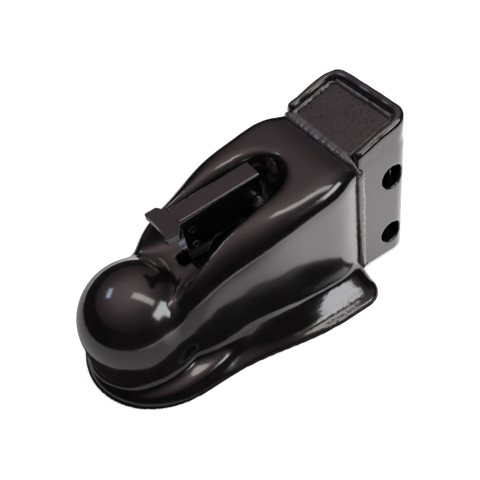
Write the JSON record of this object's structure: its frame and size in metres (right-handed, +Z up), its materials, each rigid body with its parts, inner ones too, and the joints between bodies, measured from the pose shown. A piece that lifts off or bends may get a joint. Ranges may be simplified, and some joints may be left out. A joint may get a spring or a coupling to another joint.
{
  "type": "trailer coupling head",
  "caption": "Pressed steel ball coupler head with a domed socket, a flanged rim with wings, a lift-up latch lever with finger tab and a welded channel block for cross bolts.",
  "frame": {"origin": "centre of the hitch ball when it sits in the socket", "axes": "+X forward out of the dome's nose, +Y to the left, out of the bolted side, +Z up, away from the rim"},
  "size_m": [0.2362, 0.1332, 0.1152],
  "materials": {
    "black_paint": "gloss",
    "lever_paint": "gloss",
    "painted_weld": "gloss",
    "clamp_steel": "satin",
    "bare_steel": "satin",
    "spring_steel": "satin"
  },
  "bodies": {
    "head": {"head_shell": "black_paint", "mount_channel": "black_paint", "cap_plate": "black_paint", "cap_weld": "painted_weld", "joint_weld": "painted_weld", "pivot_ear_left": "black_paint", "pivot_ear_right": "black_paint", "lever_pin": "bare_steel", "lever_pin_ring": "spring_steel", "lever_spring": "spring_steel", "clamp_pin": "bare_steel", "clamp_pin_ring": "spring_steel", "clamp_washers": "bare_steel", "clamp_bracket_left": "black_paint", "clamp_bracket_right": "black_paint", "clamp_spring": "spring_steel"},
    "lever": {"latch_lever": "lever_paint", "locking_leg": "lever_paint", "leg_rivets": "lever_paint"},
    "clamp": {"ball_clamp": "clamp_steel"}
  },
  "joints": [
    {"name": "latch_lift", "type": "hinge", "parent": "head", "child": "lever", "pos_m": [-0.092, 0, 0.047], "axis": [0, -1, 0], "range_deg": [0, 28], "stiffness_Nm_per_rad": 0.6, "springref_deg": -28.65, "deforming": ["lever_spring"]},
    {"name": "clamp_swing", "type": "hinge", "parent": "head", "child": "clamp", "pos_m": [-0.063, 0, 0.01], "axis": [0, 1, 0], "range_deg": [0, 14], "deforming": ["clamp_spring"]}
  ],
  "couplings": [
    {"joint": "clamp_swing", "follows": "latch_lift", "ratio": 0.5}
  ]
}
